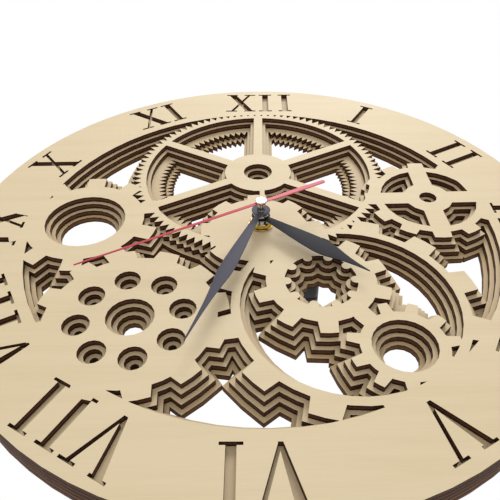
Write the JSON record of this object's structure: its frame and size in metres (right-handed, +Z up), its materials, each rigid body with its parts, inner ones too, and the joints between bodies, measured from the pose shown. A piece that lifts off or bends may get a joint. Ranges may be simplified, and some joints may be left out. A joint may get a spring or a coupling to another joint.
{
  "type": "wall clock",
  "caption": "Round wooden wall clock with a laser-cut skeleton dial of overlapping gear wheels in stepped plywood layers, Roman numerals, three hands and a battery movement.",
  "frame": {"origin": "centre of the nail or hook that carries the hanger, in the plane of the wall", "axes": "+X to the right as seen from the front, +Z up, +Y towards the wall; the dial faces -Y"},
  "size_m": [0.3, 0.0462, 0.3],
  "materials": {
    "birch_plywood": "sanded, edges dark from laser cutting",
    "black_plastic": "fine texture",
    "white_plastic": "as moulded",
    "black_paint": "satin",
    "red_paint": "satin",
    "brass": "turned",
    "nickel_plate": "bright plated",
    "steel_sheet": "rolled sheet",
    "rubber": "matt",
    "copper_wire": "lacquered copper wire",
    "green_board": "solder mask",
    "battery_wrap": null,
    "magnet": "bonded ferrite"
  },
  "bodies": {
    "clock": {"dial_plate_front": "birch_plywood", "dial_plate_second": "birch_plywood", "dial_plate_third": "birch_plywood", "dial_plate_rear": "birch_plywood", "back_ring": "birch_plywood", "front_case": "black_plastic", "rear_cover": "black_plastic", "hanger": "steel_sheet", "threaded_bush": "nickel_plate", "rubber_washer": "rubber", "brass_washer": "brass", "hex_nut": "brass", "train_bridge": "black_plastic", "stator": "steel_sheet", "coil_core": "steel_sheet", "coil_bobbin": "white_plastic", "coil_winding": "copper_wire", "circuit_board": "green_board", "clock_chip": "black_plastic", "quartz_crystal": "nickel_plate", "contact_plus": "nickel_plate", "contact_minus": "nickel_plate", "battery": "battery_wrap"},
    "hour": {"hour_wheel": "white_plastic", "hour_hand": "black_paint", "hour_hand_collar": "nickel_plate"},
    "minute": {"centre_wheel": "white_plastic", "minute_hand": "black_paint", "minute_hand_collar": "nickel_plate"},
    "second": {"second_wheel": "white_plastic", "second_hand": "red_paint", "second_hand_boss": "nickel_plate"},
    "motion": {"motion_wheel": "white_plastic", "setting_knob": "black_plastic"},
    "third": {"third_wheel": "white_plastic"},
    "step": {"step_wheel": "white_plastic"},
    "rotor": {"rotor_pinion": "white_plastic", "rotor_magnet": "magnet"}
  },
  "joints": [
    {"name": "second_turn", "type": "hinge", "parent": "clock", "child": "second", "pos_m": [0, -0.01, -0.038], "axis": [0, 1, 0], "continuous": true},
    {"name": "minute_turn", "type": "hinge", "parent": "clock", "child": "minute", "pos_m": [0, -0.01, -0.038], "axis": [0, 1, 0], "continuous": true},
    {"name": "hour_turn", "type": "hinge", "parent": "clock", "child": "hour", "pos_m": [0, -0.01, -0.038], "axis": [0, 1, 0], "continuous": true},
    {"name": "motion_turn", "type": "hinge", "parent": "clock", "child": "motion", "pos_m": [0.0096, -0.01, -0.038], "axis": [0, 1, 0], "continuous": true},
    {"name": "third_turn", "type": "hinge", "parent": "clock", "child": "third", "pos_m": [-0.00904, -0.01, -0.03641], "axis": [0, 1, 0], "continuous": true},
    {"name": "step_turn", "type": "hinge", "parent": "clock", "child": "step", "pos_m": [0.00468, -0.01, -0.02989], "axis": [0, 1, 0], "continuous": true},
    {"name": "rotor_turn", "type": "hinge", "parent": "clock", "child": "rotor", "pos_m": [0.01178, -0.01, -0.02731], "axis": [0, 1, 0], "continuous": true}
  ],
  "couplings": [
    {"joint": "minute_turn", "follows": "second_turn", "ratio": 0.016667},
    {"joint": "hour_turn", "follows": "second_turn", "ratio": 0.0013889},
    {"joint": "motion_turn", "follows": "second_turn", "ratio": -0.0055556},
    {"joint": "third_turn", "follows": "second_turn", "ratio": -0.13333},
    {"joint": "step_turn", "follows": "second_turn", "ratio": -5},
    {"joint": "rotor_turn", "follows": "second_turn", "ratio": 30}
  ]
}
